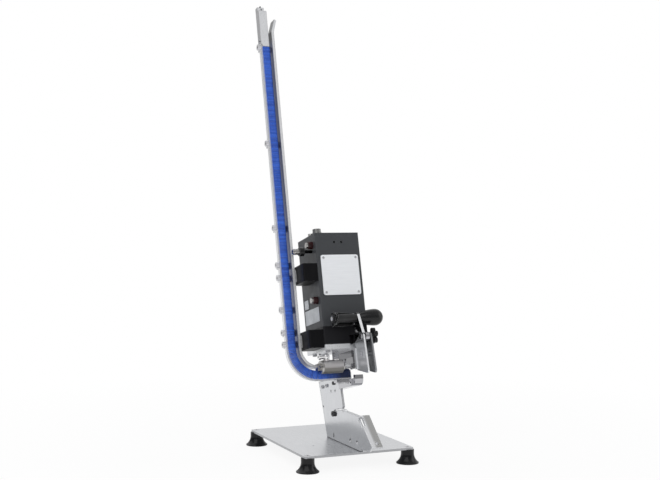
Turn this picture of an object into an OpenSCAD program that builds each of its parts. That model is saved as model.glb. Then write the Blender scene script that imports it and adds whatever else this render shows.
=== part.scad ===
// Table-top pneumatic sausage clipper on a suction-foot stand.
// Origin: middle of the base plate, on the table. +X right, +Y to the back, +Z up.
// The clipping machine itself is drawn in its own leaning frame: x right, y back, z up along the lean.

/* [Base and feet] */
// Width of the base plate
base_w = 213; // [180:1:260]
// Depth of the base plate
base_d = 280; // [270:1:330]
// Thickness of the base plate
base_t = 4; // [3:0.5:8]
// Corner radius of the base plate
base_corner = 5; // [2:1:20]
// Height of a suction foot
foot_h = 25; // [18:1:40]
// Diameter of a foot's neck under the plate
foot_neck_d = 24; // [18:1:30]
// Diameter of a foot's rim on the table
foot_rim_d = 41; // [36:1:55]
// Distance of a foot's axis from both plate edges
foot_inset = 9; // [8:1:30]
// Thread diameter of the foot screws
foot_screw_d = 6; // [4:1:8]

/* [Stand] */
// Lean of the machine to the back, in degrees
lean = 13.6; // [10:0.2:16]
// Sheet thickness of the stand
stand_sheet = 4; // [3:0.5:5]
// Height of the gusset above the base plate
gusset_h = 63; // [50:1:75]
// Reach of the gusset's toe in front of the base plate
toe_reach = 47; // [30:1:55]
// Width of the folded front flange
fold_w = 17; // [12:1:30]
// Width of the folded foot flange
foot_flange_w = 22; // [18:1:40]
// Diameter of the bolts that hold the stand
stand_bolt_d = 6; // [5:1:8]

/* [Body] */
// Width of the body
body_w = 85; // [78:1:100]
// Depth of the body
body_d = 84; // [80:1:100]
// Height of the body, with the black lower head
body_h = 200; // [190:1:230]
// Height of the black lower head
head_h = 32; // [30:1:40]
// Radius of the body's upright edges
body_corner = 2; // [1:0.5:5]
// Thickness of the top lid
lid_t = 6; // [4:1:10]
// Thickness of the flange plate under the body
flange_t = 9.5; // [8:0.5:12]
// Middle of the body, left of the clipping plane
body_offset = 24; // [20:1:28]
// Height of the body's lower front edge above the table
body_z = 222.3; // [215:0.1:235]
// Place of the body's lower front edge, in front of the base's middle
body_y = 134; // [125:1:140]
// Side of the square nameplate
plate_side = 72.5; // [50:0.5:76]
// Height of the nameplate's middle above the body's lower edge
plate_z = 123.2; // [110:0.1:130]

/* [Cylinder and punch] */
// Bore of the air cylinder
bore_d = 56; // [40:1:60]
// Diameter of the piston rod
rod_d = 16; // [12:1:20]
// Stroke of the punch
stroke = 17; // [10:0.5:17]
// Width of the punch
punch_w = 14; // [10:1:16]
// Thickness of the punch
punch_t = 3; // [2:0.5:5]

/* [Clip rail] */
// Width of the rail from its outer to its inner face
rail_w = 26.5; // [25:0.5:32]
// Depth of the inner bar
rail_d = 18; // [16:0.5:22]
// Place of the rail's front face behind the body's front
rail_front = 35; // [32:1:38]
// Reach of the outer bar beyond the clips' legs
outer_t = 2.4; // [2:0.1:4]
// Thickness of the inner bar
inner_t = 5; // [3:0.1:6]
// Outer radius of the bend
bend_r = 57.5; // [52:0.5:60]
// Top of the outer bar along the lean
rail_top = 570; // [400:5:700]
// Height of the flared lead-in of the inner bar
flare_h = 46; // [30:1:60]
// Sideways step of the flared lead-in
flare_step = 6.5; // [4:0.5:12]
// Length of a clip's legs
clip_leg = 16; // [13:0.5:16.5]
// Width of a clip over its legs
clip_w = 15; // [13:0.5:16]
// Wire thickness of a clip
clip_wire = 2.6; // [1.5:0.1:3]
// Width of the follower weight
follower_w = 15.8; // [13:0.1:17]
// Height of the follower weight
follower_h = 78; // [50:1:100]
// Width of the rail blocks on the body's side
block_w = 27; // [22:1:32]
// Height of the rail blocks
block_h = 32; // [26:1:40]
// Depth of the rail blocks
block_d = 50; // [44:1:56]

/* [C-frame and die] */
// Thickness of the C-frame
frame_t = 16; // [12:1:20]
// Depth of the die seat below the body's lower edge
die_z = 63; // [63:0.5:66]
// Thickness of the lower arm of the C-frame
arm_h = 9; // [8:0.5:14]
// Front of the jaw behind the body's front
jaw_front = 24; // [23:1:28]

/* [Hand lever and grip] */
// Place of the lever's pivot in front of the body
pivot_out = 40.7; // [38:0.1:44]
// Height of the lever's pivot above the body's lower edge
pivot_z = 6; // [4:0.5:8]
// Diameter of the pivot pin
pivot_d = 6; // [5:0.5:8]
// Distance between the middles of the two gathering cheeks
cheek_gap = 14; // [13:0.5:18]
// Sheet thickness of the lever and the cheeks
lever_sheet = 3; // [2:0.5:3]
// Thickness of the lever's arm between pivot and handle
arm_t = 5; // [4:0.5:6]
// Height of the handle's axis above the pivot
handle_up = 35; // [34:0.5:40]
// Place of the handle's axis behind the pivot
handle_back = 15.2; // [12:0.1:17]
// Diameter of the handle bolt
handle_bolt_d = 8; // [6:1:10]
// Diameter of the black sleeve on the handle bolt
sleeve_d = 15.3; // [12:0.1:17]
// Length of the black sleeve
sleeve_l = 38; // [25:1:45]
// Largest diameter of the grip
grip_d = 29.4; // [24:0.1:32]
// Diameter of the grip next to the lever
grip_neck_d = 17; // [15:0.5:22]
// Length of the grip
grip_l = 46; // [38:1:60]
// Diameter of the star knob
knob_d = 29; // [22:1:34]

/* [Feed cylinder and fittings] */
// Diameter of the feed cylinder
feed_d = 24; // [18:1:25]
// Length of the feed cylinder's barrel
feed_l = 37; // [30:1:42]
// Travel of the feed cylinder's rod
feed_travel = 6; // [3:0.5:8]
// Diameter of a push button's collar
button_d = 13.6; // [11:0.2:16]
// Reach of a push button's collar from the body
button_out = 8.7; // [6:0.1:12]
// Bore of the air inlet
inlet_bore = 4; // [3:0.5:5]

/* [Hidden] */
$fn = 64;

// Running clearance of a shaft in its bore, on the radius
run = 0.05;
// Clearance of a screw in its hole, on the radius
slack = 0.1;
// Clear gap between faces that pass each other
gap = 0.3;
// Overlap that lets a cutter break through a face
cut = 1;

base_top = foot_h + base_t;
body_left = -body_offset - body_w / 2;
body_right = body_left + body_w;
head_top = head_h;
housing_top = body_h - lid_t;
flange_low = -flange_t;

// The rail stands beside the body, held off by the blocks and their spacers.
spacer_t = 3.2;
rail_x = body_left - block_w - spacer_t - rail_w;
rail_back = rail_front + rail_d;
rail_mid = rail_front + rail_d / 2;
bend_x = rail_x + bend_r;
run_low = -die_z + 3.5;
bend_z = run_low + bend_r;
inner_r = bend_r - rail_w;
clip_out_r = bend_r - outer_t - gap;
clip_in_r = clip_out_r - clip_leg;
tongue_w = clip_w - 2 * clip_wire - 4 * gap;
tongue_front = rail_mid - tongue_w / 2;
tongue_back = rail_mid + tongue_w / 2;
stack_top = rail_top - 8;

// The C-frame stands in the clipping plane.
frame_x = -4;
frame_x1 = frame_x + frame_t;
punch_x = frame_x + frame_t / 2 - 2;
punch_y = rail_mid;
arm_low = -die_z - arm_h;
upper_arm_low = flange_low - 12;
column_y = body_d + 6;
column_y1 = column_y + 24;
rear_y = 203;
rear_top = -48;
guide_low = -40;

// The lever turns about the pivot, and its cheeks hang on both sides of the bracket.
cheek_mid = -4.7;
left_cheek_x = cheek_mid - cheek_gap / 2;
right_cheek_x = cheek_mid + cheek_gap / 2;
pivot_y = -pivot_out;
handle_y = pivot_y + handle_back;
handle_z = pivot_z + handle_up;
arm_x0 = left_cheek_x - arm_t / 2;
arm_x1 = arm_x0 + arm_t;
ear_x1 = arm_x0 - sleeve_l;
ear_x0 = ear_x1 - lever_sheet;
grip_x = arm_x1 + gap;

black = [0.07, 0.07, 0.08];
housing_grey = [0.30, 0.31, 0.33];
steel = [0.76, 0.77, 0.79];
bright = [0.85, 0.86, 0.88];
dark_steel = [0.24, 0.25, 0.27];
clip_blue = [0.16, 0.26, 0.62];

// Leans the machine back about the body's lower front edge.
module machine() {
    translate([0, -body_y, body_z]) rotate([-lean, 0, 0]) children();
}

// A box between two corners.
module block(low, high) {
    translate(low) cube(high - low);
}

// A flat profile of (y, z) points, drawn out along x.
module along_x(x0, x1) {
    translate([x0, 0, 0]) rotate([90, 0, 90]) linear_extrude(x1 - x0) children();
}

// A flat profile of (x, z) points, drawn out along y.
module along_y(y0, y1) {
    translate([0, y1, 0]) rotate([90, 0, 0]) linear_extrude(y1 - y0) children();
}

// A round bar along x.
module rod_x(x0, x1, y, z, d) {
    translate([x0, y, z]) rotate([0, 90, 0]) cylinder(h = x1 - x0, d = d);
}

// A round bar along y.
module rod_y(y0, y1, x, z, d) {
    translate([x, y0, z]) rotate([-90, 0, 0]) cylinder(h = y1 - y0, d = d);
}

// A round bar along z.
module rod_z(z0, z1, x, y, d) {
    translate([x, y, z0]) cylinder(h = z1 - z0, d = d);
}

// A rectangle with round corners, centred.
module rounded(w, h, r) {
    square([w - 2 * r, h], center = true);
    square([w, h - 2 * r], center = true);
    for (sx = [-1, 1], sy = [-1, 1])
        translate([sx * (w / 2 - r), sy * (h / 2 - r)]) circle(r);
}

// BASE: plate, suction feet and their countersunk screws

foot_x = base_w / 2 - foot_inset;
foot_y = base_d / 2 - foot_inset;
csk_d = 2 * foot_screw_d;
csk_h = base_t * 0.7;
foot_screw_l = 14;

module at_feet() {
    for (sx = [-1, 1], sy = [-1, 1]) translate([sx * foot_x, sy * foot_y, 0]) children();
}

module csk_screw(d, head_d, head_h, l) {
    translate([0, 0, -head_h]) cylinder(h = head_h, d1 = d, d2 = head_d);
    translate([0, 0, -l]) cylinder(h = l - head_h, d = d);
}

module base_plate() {
    color(steel) difference() {
        translate([0, 0, foot_h]) linear_extrude(base_t) rounded(base_w, base_d, base_corner);
        at_feet() translate([0, 0, base_top])
            csk_screw(foot_screw_d + 2 * slack, csk_d, csk_h, base_t + cut);
        at_stand_foot_bolts() translate([0, 0, foot_h - cut])
            cylinder(h = base_t + 2 * cut, d = stand_bolt_d + 2 * slack);
        // Two small holes beside the stand
        for (x = small_hole_x) rod_z(foot_h - cut, base_top + cut, x, small_hole_y, small_hole_d);
    }
}

small_hole_x = [-55, -24];
small_hole_y = -54;
small_hole_d = 3.2;

// Concave flare from the neck to the rim, hollow below like a suction cup.
foot_lip = 2.5;
foot_neck_h = 7;
cup_depth = 9;
flare_dx = foot_rim_d / 2 - foot_neck_d / 2 - 1;
flare_dz = foot_h - foot_neck_h - foot_lip;
foot_flare_r = (flare_dx * flare_dx + flare_dz * flare_dz) / (2 * flare_dx);
cup_d = foot_rim_d - 8;

module foot(sx, sy) {
    color(black) translate([sx * foot_x, sy * foot_y, 0]) difference() {
        rotate_extrude() difference() {
            square([foot_rim_d / 2, foot_h]);
            translate([foot_neck_d / 2 + foot_flare_r, foot_h - foot_neck_h])
                circle(foot_flare_r, $fn = 128);
            translate([foot_neck_d / 2, foot_h - foot_neck_h])
                square([foot_rim_d, foot_neck_h + cut]);
        }
        translate([0, 0, -cut]) cylinder(h = cut + cup_depth, d1 = cup_d + 4, d2 = foot_screw_d);
        translate([0, 0, base_top - foot_screw_l - cut])
            cylinder(h = foot_screw_l + cut, d = foot_screw_d + 2 * slack);
    }
}

module foot_screws() {
    color(steel) at_feet() translate([0, 0, base_top])
        csk_screw(foot_screw_d, csk_d - 0.4, csk_h, foot_screw_l);
}

// STAND: one folded sheet with gusset, sloping front flange and foot flange

stand_x0 = 0;
stand_x1 = stand_x0 + stand_sheet;
lean_c = cos(lean);
lean_s = sin(lean);

// Place of a point of the leaning frame in the upright (y, z) plane.
function upright(p) = [-body_y + p[0] * lean_c + p[1] * lean_s, body_z - p[0] * lean_s + p[1] * lean_c];

base_front = -base_d / 2;
gusset_top = base_top + gusset_h;
toe_y = base_front - toe_reach;
toe_z = base_top + 16;
fold_top_y = base_front + 9;
slope_len = norm([fold_top_y - toe_y, gusset_top - toe_z]);
slope_angle = atan2(gusset_top - toe_z, fold_top_y - toe_y);
slope_in = stand_sheet * [sin(slope_angle), -cos(slope_angle)];
toe_at = [toe_y, toe_z];
fold_top_at = [fold_top_y, gusset_top];
upright_front_y = -64;
notch_at = [upright_front_y, gusset_top + 1];
slit_l = 42;
slit_drop = 9;
slit_end = notch_at + [slit_l, -slit_drop];
relief_l = 20;
relief_w = 5.5;
stand_back_y = 10;
edge_hole_y = 29.4;
edge_hole_z = 84.2;
low_slot_y = -21.2;
low_slot_z = 38.2;
foot_flange_y0 = base_front + 24;
foot_flange_y1 = stand_back_y - 6;

module stand_side_2d() {
    top_front = upright([column_y1 - 10, rear_top]);
    top_back = upright([rear_y, rear_top]);
    difference() {
        polygon([
            [stand_back_y, base_top], [base_front, base_top], [base_front - 2, base_top + 5],
            [toe_y + 10, base_top + 7], toe_at + slope_in, toe_at, fold_top_at,
            [upright_front_y - 14, gusset_top], [upright_front_y, gusset_top + 3], top_front, top_back
        ]);
        // Relief slit that runs from a notch under the upright's front edge
        polygon([notch_at, slit_end, slit_end + [0.3, 1.2], notch_at + [0.3, 1.2]]);
        translate(notch_at) circle(d = 8);
        // Bolt and lightening holes
        translate(stand_side_bolt_at) circle(d = stand_bolt_d + 2 * slack);
        for (p = [[-124, base_top + 15], [-95, base_top + 13]]) translate(p) circle(d = 7);
        for (p = frame_bolt_at) translate(upright(p)) circle(d = frame_bolt_d + 2 * slack);
        for (p = [[147.3, -71], [127.9, -72]]) translate(upright(p)) circle(d = 4);
        translate([edge_hole_y, edge_hole_z]) circle(d = 4);
        translate([low_slot_y, low_slot_z]) square([3, 8], center = true);
    }
}

module stand_bracket() {
    color(bright) difference() {
        union() {
            along_x(stand_x0, stand_x1) stand_side_2d();
            // Front flange along the gusset's slope
            along_x(stand_x0, stand_x1 + fold_w)
                polygon([toe_at, fold_top_at, fold_top_at + slope_in, toe_at + slope_in]);
            // Foot flange on the base plate
            block([stand_x0, foot_flange_y0, base_top],
                [stand_x1 + foot_flange_w, foot_flange_y1, base_top + stand_sheet]);
        }
        translate([stand_x0, toe_y, toe_z]) rotate([slope_angle, 0, 0]) {
            translate([stand_sheet + fold_w / 2, 9, -stand_sheet - cut])
                cylinder(h = stand_sheet + 2 * cut, d = stand_bolt_d);
            // Relief slot across the fold
            block([-cut, slope_len - relief_l - 4, -relief_w], [relief_w, slope_len - 4, cut]);
        }
        at_stand_foot_bolts() translate([0, 0, base_top - cut])
            cylinder(h = stand_sheet + 2 * cut, d = stand_bolt_d + 2 * slack);
    }
}

module at_stand_foot_bolts() {
    for (t = [0.15, 0.53, 0.9])
        translate([stand_x1 + foot_flange_w / 2, foot_flange_y0 + t * (foot_flange_y1 - foot_flange_y0), 0])
            children();
}

// A button-head bolt, head up, with its seat at z = 0.
module bolt(d, l) {
    difference() {
        cylinder(h = 0.65 * d, d = 1.7 * d);
        translate([0, 0, 0.2 * d]) cylinder(h = d, d = 0.9 * d, $fn = 6);
    }
    translate([0, 0, -l]) cylinder(h = l, d = d);
}

module stand_foot_bolts() {
    color(steel) at_stand_foot_bolts() {
        translate([0, 0, base_top + stand_sheet]) bolt(stand_bolt_d, stand_sheet + base_t + 6);
        translate([0, 0, foot_h - 5]) difference() {
            cylinder(h = 5, d = 1.9 * stand_bolt_d, $fn = 6);
            translate([0, 0, -cut]) cylinder(h = 5 + 2 * cut, d = stand_bolt_d + 0.02);
        }
    }
}

stand_side_bolt_at = [-22.2, 78.4];
frame_bolt_d = 4;
frame_bolt_at = [[130.8, -57.9], [165.1, -59], [185.5, -59.4]];

// Bolts through the stand's sheet: one alone, the others into the C-frame.
module stand_bolts() {
    color(dark_steel) {
        translate([stand_x0, stand_side_bolt_at[0], stand_side_bolt_at[1]])
            rotate([0, -90, 0]) bolt(stand_bolt_d, stand_sheet + 6);
        machine() for (p = frame_bolt_at)
            translate([stand_x0, p[0], p[1]]) rotate([0, -90, 0]) bolt(frame_bolt_d, stand_sheet + 9);
    }
}

// C-FRAME: throat open to the front, rebated at the rear for the stand's sheet

throat_r = 10;
jaw_r = 13;

module c_frame_2d() {
    difference() {
        union() {
            polygon([[jaw_front + jaw_r, arm_low], [column_y1, arm_low], [column_y1, flange_low],
                [jaw_front + 6, flange_low], [jaw_front + 6, upper_arm_low], [column_y, upper_arm_low],
                [column_y, -die_z], [jaw_front + 8, -die_z], [jaw_front + 6, -die_z + 10],
                [jaw_front, -die_z + 9], [jaw_front, arm_low + jaw_r]]);
            translate([jaw_front + jaw_r, arm_low + jaw_r]) intersection() {
                circle(jaw_r);
                translate([-jaw_r, -jaw_r]) square([jaw_r, jaw_r]);
            }
            // Round inner corners of the throat
            for (z = [-die_z, upper_arm_low - throat_r]) translate([column_y - throat_r, z]) difference() {
                square(throat_r);
                translate([0, z < -die_z + 1 ? throat_r : 0]) circle(throat_r);
            }
        }
        translate(die_corner) square(die_size);
    }
}

die_size = [26, 4];
die_corner = [punch_y - die_size[0] / 2, -die_z - die_size[1]];

module c_frame() {
    color(steel) machine() difference() {
        union() {
            along_x(frame_x, frame_x1) c_frame_2d();
            along_x(stand_x1, frame_x1) polygon([[column_y1 - 4, arm_low], [rear_y, arm_low + 6],
                [rear_y, rear_top], [column_y1 - 4, rear_top]]);
        }
        // Way for the punch through the upper arm
        at_punch() block([-punch_t / 2 - gap, -punch_w / 2 - gap, upper_arm_low - cut],
            [punch_t / 2 + gap, punch_w / 2 + gap, flange_low + cut]);
        for (p = frame_bolt_at) rod_x(stand_x1 - cut, stand_x1 + 10, p[0], p[1], frame_bolt_d + 2 * slack);
        casing_slot(upper_arm_low - cut, flange_low + cut);
        flange_bolt_holes();
        // Rebate that seats the stand's sheet
        block([frame_x - cut, column_y1 - 14, arm_low - cut], [stand_x1, rear_y, rear_top + 0.01]);
    }
}

module at_punch() {
    translate([punch_x, punch_y, 0]) children();
}

// Slot between two walls, in front of the punch, that takes in the gathered casing.
slot_wall = 4;
slot_back = punch_y - punch_w / 2 - 2;

module casing_slot(z0, z1) {
    block([frame_x + slot_wall, jaw_front - 2 * cut, z0], [frame_x1 - slot_wall, slot_back, z1]);
}

// Hardened die with the two curling grooves for the clip's legs
module die() {
    groove_d = 6;
    color(bright) machine() difference() {
        block([frame_x, die_corner[0], die_corner[1]],
            [frame_x1, die_corner[0] + die_size[0], die_corner[1] + die_size[1]]);
        for (s = [-1, 1]) rod_x(punch_x - 3, punch_x + 3, punch_y + s * clip_w / 4, -die_z + 0.6, groove_d);
    }
}

// Three bolts sit on the flange plate, the fourth passes through the C-frame's upper arm.
flange_bolt_d = 5;
flange_bolt_in = 12;

module flange_bolt_places(arm_seat) {
    for (p = [[body_left + 10, 12, flange_low], [body_left + 10, body_d - 10, flange_low],
            [frame_x1 + 2, jaw_front, flange_low],
            [frame_x + frame_t / 2, column_y - throat_r - 4, arm_seat]])
        translate(p) children();
}

module flange_bolt_holes() {
    flange_bolt_places(flange_low) translate([0, 0, -20])
        cylinder(h = 20 + flange_t + flange_bolt_in, d = flange_bolt_d + 2 * slack);
}

slot_w = lever_sheet + 3;
slot_depth = 17;

// Two slots let the cheeks swing in under the body.
module cheek_slots(z0, z1, depth) {
    block([left_cheek_x - slot_w / 2 - lip_w, -cut, z0], [left_cheek_x + slot_w / 2, depth, z1]);
    block([right_cheek_x - slot_w / 2, -cut, z0], [right_cheek_x + slot_w / 2, depth, z1]);
}

module flange_plate() {
    color(bright) machine() difference() {
        block([body_left, 0, flange_low], [body_right, body_d, 0]);
        at_punch() block([-punch_t / 2 - gap, -punch_w / 2 - gap, flange_low - cut],
            [punch_t / 2 + gap, punch_w / 2 + gap, cut]);
        flange_bolt_holes();
        cheek_slots(flange_low - cut, cut, slot_depth);
        rod_z(flange_low - cut, flange_low + 6, feed_post_x, feed_y, 5 + 2 * slack);
    }
}

module flange_bolts() {
    color(dark_steel) machine() flange_bolt_places(upper_arm_low) mirror([0, 0, 1])
        bolt(flange_bolt_d, flange_t + flange_bolt_in - 2);
}

module punch_guide() {
    front = slot_back - 9;
    back = punch_y + punch_w / 2 + 5;
    color(steel) machine() difference() {
        // The lower front edge is sloped to lead the casing in.
        along_x(frame_x, frame_x1) polygon([[front, upper_arm_low], [back, upper_arm_low], [back, guide_low],
            [slot_back, guide_low], [front, guide_low + 9]]);
        casing_slot(guide_low - cut, upper_arm_low + cut);
        at_punch() block([-punch_t / 2 - gap, -punch_w / 2 - gap, guide_low - cut],
            [punch_t / 2 + gap, punch_w / 2 + gap, upper_arm_low + cut]);
    }
}

// BODY: black lower head, grey cylinder housing and lid

bore_x = -body_offset;
bore_y = body_d / 2;
bore_floor = head_top + 10;
piston_h = 18;
piston_top = housing_top - 8;
piston_low = piston_top - piston_h;
cross_h = 11;
cross_top = head_top - gap;
cross_low = cross_top - cross_h;
cross_x0 = bore_x - rod_d / 2 - 4;
cross_x1 = punch_x + punch_t / 2 + 4;
cross_y0 = min(bore_y - rod_d / 2, punch_y - punch_w / 2) - 4;
cross_y1 = max(bore_y + rod_d / 2, punch_y + punch_w / 2) + 4;

// A slice of the body between two heights.
module body_slice(z0, z1) {
    translate([bore_x, bore_y, z0]) linear_extrude(z1 - z0) rounded(body_w, body_d, body_corner);
}

module lower_head() {
    color(black) machine() difference() {
        body_slice(0, head_top);
        block([cross_x0 - gap, cross_y0 - gap, -cut], [cross_x1 + gap, cross_y1 + gap, head_top + cut]);
        flange_bolt_holes();
        cheek_slots(-cut, 15, 12);
        at_bracket_screws() rotate([-90, 0, 0]) translate([0, 0, -cut])
            cylinder(h = 10 + cut, d = 4 + 2 * slack);
    }
}

module body_housing() {
    color(housing_grey) machine() difference() {
        body_slice(head_top, housing_top);
        rod_z(bore_floor, housing_top + cut, bore_x, bore_y, bore_d);
        rod_z(head_top - cut, bore_floor + cut, bore_x, bore_y, rod_d + 2 * run);
        lid_screw_places() translate([0, 0, housing_top - 14]) cylinder(h = 14 + cut, d = 4 + 2 * slack);
        for (x = [-7, 7]) rod_y(-cut, 7, bore_x + 0.6 + x, body_h - 17.3, 4.2);
        at_plate_screws() rotate([-90, 0, 0]) cylinder(h = 5, d = 2.5 + 2 * slack);
        for (p = button_at) rod_x(body_left - cut, body_left + 12, p[0], p[1], plunger_d + 2 * gap);
        rod_x(body_left - cut, body_left + 8, inlet_at[0], inlet_at[1], inlet_stem_d + 2 * slack);
    }
}

module lid_screw_places() {
    for (x = [body_left + 7, body_right - 7], y = [7, body_d - 7]) translate([x, y, 0]) children();
}

module housing_lid() {
    color(housing_grey) machine() difference() {
        body_slice(housing_top, body_h);
        lid_screw_places() translate([0, 0, body_h]) csk_screw(4 + 2 * slack, 8.4, 3, lid_t + cut);
        rod_z(body_h - 4, body_h + cut, silencer_at[0], silencer_at[1], 10 + 2 * slack);
        rod_z(body_h - 4, body_h + cut, plug_at[0], plug_at[1], 5 + 2 * slack);
    }
}

module lid_screws() {
    color(dark_steel) machine() lid_screw_places() translate([0, 0, body_h]) csk_screw(4, 8, 3, lid_t + 12);
}

seal_d = 3;

module piston() {
    color(steel) machine() translate([bore_x, bore_y, 0]) difference() {
        rod_z(piston_low, piston_top, 0, 0, bore_d - 2 * run);
        rod_z(piston_low - cut, piston_top + cut, 0, 0, rod_d - 4 + 0.02);
        translate([0, 0, piston_low + piston_h / 2 - seal_d / 2]) difference() {
            cylinder(h = seal_d, d = bore_d + 2 * cut);
            translate([0, 0, -cut]) cylinder(h = seal_d + 2 * cut, d = bore_d - 2 * seal_d);
        }
    }
}

module piston_seal() {
    color(black) machine() translate([bore_x, bore_y, piston_low + piston_h / 2])
        rotate_extrude() translate([bore_d / 2 - seal_d / 2 - run, 0]) circle(d = seal_d - 0.2);
}

module piston_rod() {
    color(bright) machine() translate([bore_x, bore_y, 0]) {
        rod_z(cross_low, piston_low, 0, 0, rod_d);
        rod_z(piston_low - cut, piston_top, 0, 0, rod_d - 4);
    }
}

module crosshead() {
    color(steel) machine() difference() {
        block([cross_x0, cross_y0, cross_low], [cross_x1, cross_y1, cross_top]);
        rod_z(cross_low - cut, cross_top + cut, bore_x, bore_y, rod_d + 0.02);
        at_punch() block([-punch_t / 2, -punch_w / 2, cross_low - cut],
            [punch_t / 2, punch_w / 2, cross_low + 6]);
    }
}

punch_low = -(die_z - 21);

module punch() {
    color(bright) machine() at_punch() difference() {
        block([-punch_t / 2, -punch_w / 2, punch_low], [punch_t / 2, punch_w / 2, cross_low + 6]);
        rod_x(-punch_t, punch_t, 0, punch_low - 2, clip_w - 6);
    }
}

// NAMEPLATE: a bare plate held by four small screws

plate_t = 1.2;
plate_corner = 4;
plate_screw_in = 5;

module at_plate_screws() {
    half = plate_side / 2 - plate_screw_in;
    for (sx = [-1, 1], sz = [-1, 1])
        translate([bore_x + 0.6 + sx * half, 0, plate_z + sz * half]) children();
}

module nameplate() {
    color(bright) machine() difference() {
        translate([bore_x + 0.6, 0, plate_z]) along_y(-plate_t, 0)
            rounded(plate_side, plate_side, plate_corner);
        at_plate_screws() rotate([90, 0, 0]) translate([0, 0, -cut])
            cylinder(h = 4, d = 2.5 + 2 * slack);
    }
}

module nameplate_screws() {
    color(steel) machine() at_plate_screws() translate([0, -plate_t, 0]) rotate([90, 0, 0]) {
        cylinder(h = 1.2, d = 4.4);
        translate([0, 0, -5]) cylinder(h = 5, d = 2.5);
    }
}

// RAIL: blocks, outer and inner bar, ties, clips and follower weight

block_front = 2;
upper_block_drop = 86.5;
upper_block_z = body_h - upper_block_drop;
lower_block_z = -5;
block_x0 = body_left - block_w;
block_front_r = 2.5;
block_back_r = 9;

module rail_block(z0) {
    back = block_front + block_d;
    color(black) machine() translate([0, 0, z0]) linear_extrude(block_h) {
        translate([block_x0 + block_front_r, block_front + block_front_r]) circle(block_front_r);
        translate([block_x0 + block_back_r, back - block_back_r]) circle(block_back_r);
        polygon([[block_x0, block_front + block_front_r], [block_x0 + block_front_r, block_front],
            [body_left, block_front], [body_left, back], [block_x0 + block_back_r, back],
            [block_x0, back - block_back_r]]);
    }
}

module rail_spacers() {
    inset = 5;
    color(bright) machine() for (z = [upper_block_z, lower_block_z])
        block([block_x0 - spacer_t, rail_front + 2, z + inset],
            [block_x0, min(rail_back, block_front + block_d) - 2, z + block_h - inset]);
}

// One bar of the rail: straight part, bend and level run.
module rail_sweep(r0, r1, y0, y1, top, end_x) {
    block([bend_x - r1, y0, bend_z], [bend_x - r0, y1, top]);
    translate([bend_x, y1, bend_z]) rotate([90, 0, 0]) rotate([0, 0, 180])
        rotate_extrude(angle = 90, $fn = 128) translate([r0, 0]) square([r1 - r0, y1 - y0]);
    block([bend_x, y0, bend_z - r1], [end_x, y1, bend_z - r0]);
}

rail_screw_d = 4;
rail_screw_in = 7;
tie_t = 3;
tie_h = 12;
top_tie_z = rail_top - 8;
tie_z = [top_tie_z, rail_top * 0.661, rail_top * 0.384, upper_block_z + block_h + 5,
    upper_block_z + block_h / 2 - 2, body_h * 0.35, lower_block_z + block_h + 2,
    lower_block_z + block_h / 2 - 3];

module at_ties() {
    for (z = tie_z) translate([0, 0, z]) children();
}

// A flat bar on edge: the clips straddle it, and its outer edge stays in sight beside their legs.
module outer_rail() {
    tongue_r = clip_in_r + clip_wire + gap;
    color(bright) machine() difference() {
        rail_sweep(tongue_r, bend_r, tongue_front, tongue_back, rail_top, frame_x);
        at_ties() rod_x(rail_x - cut, rail_x + rail_screw_in, rail_mid, 0, rail_screw_d + 2 * slack);
        for (x = support_screw_x)
            rod_z(run_low - cut, run_low + rail_screw_in, x, rail_mid, rail_screw_d + 2 * slack);
    }
}

flare_start = rail_top - 2;
flare_x = bend_x - inner_r - inner_t;

module inner_rail() {
    color(bright) machine() {
        rail_sweep(inner_r, inner_r + inner_t, rail_front, rail_back, flare_start, frame_x);
        along_y(rail_front, rail_back) polygon([
            [flare_x, flare_start], [flare_x + inner_t, flare_start],
            [flare_x + inner_t, flare_start + flare_h / 2],
            [flare_x + inner_t + flare_step, flare_start + flare_h],
            [flare_x + inner_t + flare_step - 4, flare_start + flare_h + 2],
            [flare_x, flare_start + flare_h / 2 + 1]
        ]);
    }
}

// Ties across the back hold the two bars at their distance.
module rail_ties() {
    color(steel) machine() at_ties() {
        block([rail_x, rail_back, -tie_h / 2], [rail_x + rail_w, rail_back + tie_t, tie_h / 2]);
        block([rail_x, tongue_back, -tie_h / 2], [rail_x + outer_t, rail_back + tie_t, tie_h / 2]);
    }
}

module rail_screws() {
    head_d = 11;
    head_t = 5.2;
    color(steel) machine() {
        at_ties() rotate([0, -90, 0]) translate([0, rail_mid, -rail_x]) {
            difference() {
                cylinder(h = head_t, d = head_d);
                translate([0, 0, head_t / 2]) cylinder(h = head_t, d = 6, $fn = 6);
            }
            translate([0, 0, cut - rail_screw_in]) cylinder(h = rail_screw_in - cut, d = rail_screw_d);
        }
        for (x = support_screw_x) translate([x, rail_mid, run_low - support_t]) mirror([0, 0, 1])
            bolt(rail_screw_d, support_t + rail_screw_in - cut);
    }
}

support_l = 30;
support_t = 5;
support_screw_x = [frame_x - 8, frame_x - 22];

// Angle that carries the level run on the C-frame.
module rail_support() {
    color(dark_steel) machine() difference() {
        union() {
            block([frame_x - support_l, rail_front + 2, run_low - support_t],
                [frame_x, rail_back - 2, run_low]);
            block([frame_x - 3, rail_front + 2, arm_low + 1], [frame_x, rail_back - 2, run_low]);
        }
        for (x = support_screw_x)
            rod_z(run_low - support_t - cut, run_low + cut, x, rail_mid, rail_screw_d + 2 * slack);
    }
}

// The filled magazine: U-shaped clips side by side, legs to the outside.
module clip_stack() {
    y0 = rail_mid - clip_w / 2;
    y1 = rail_mid + clip_w / 2;
    color(clip_blue) machine() {
        rail_sweep(clip_in_r, clip_in_r + clip_wire, y0, y1, stack_top, frame_x);
        rail_sweep(clip_in_r + clip_wire, clip_out_r, y0, y0 + clip_wire, stack_top, frame_x);
        rail_sweep(clip_in_r + clip_wire, clip_out_r, y1 - clip_wire, y1, stack_top, frame_x);
    }
}

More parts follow.
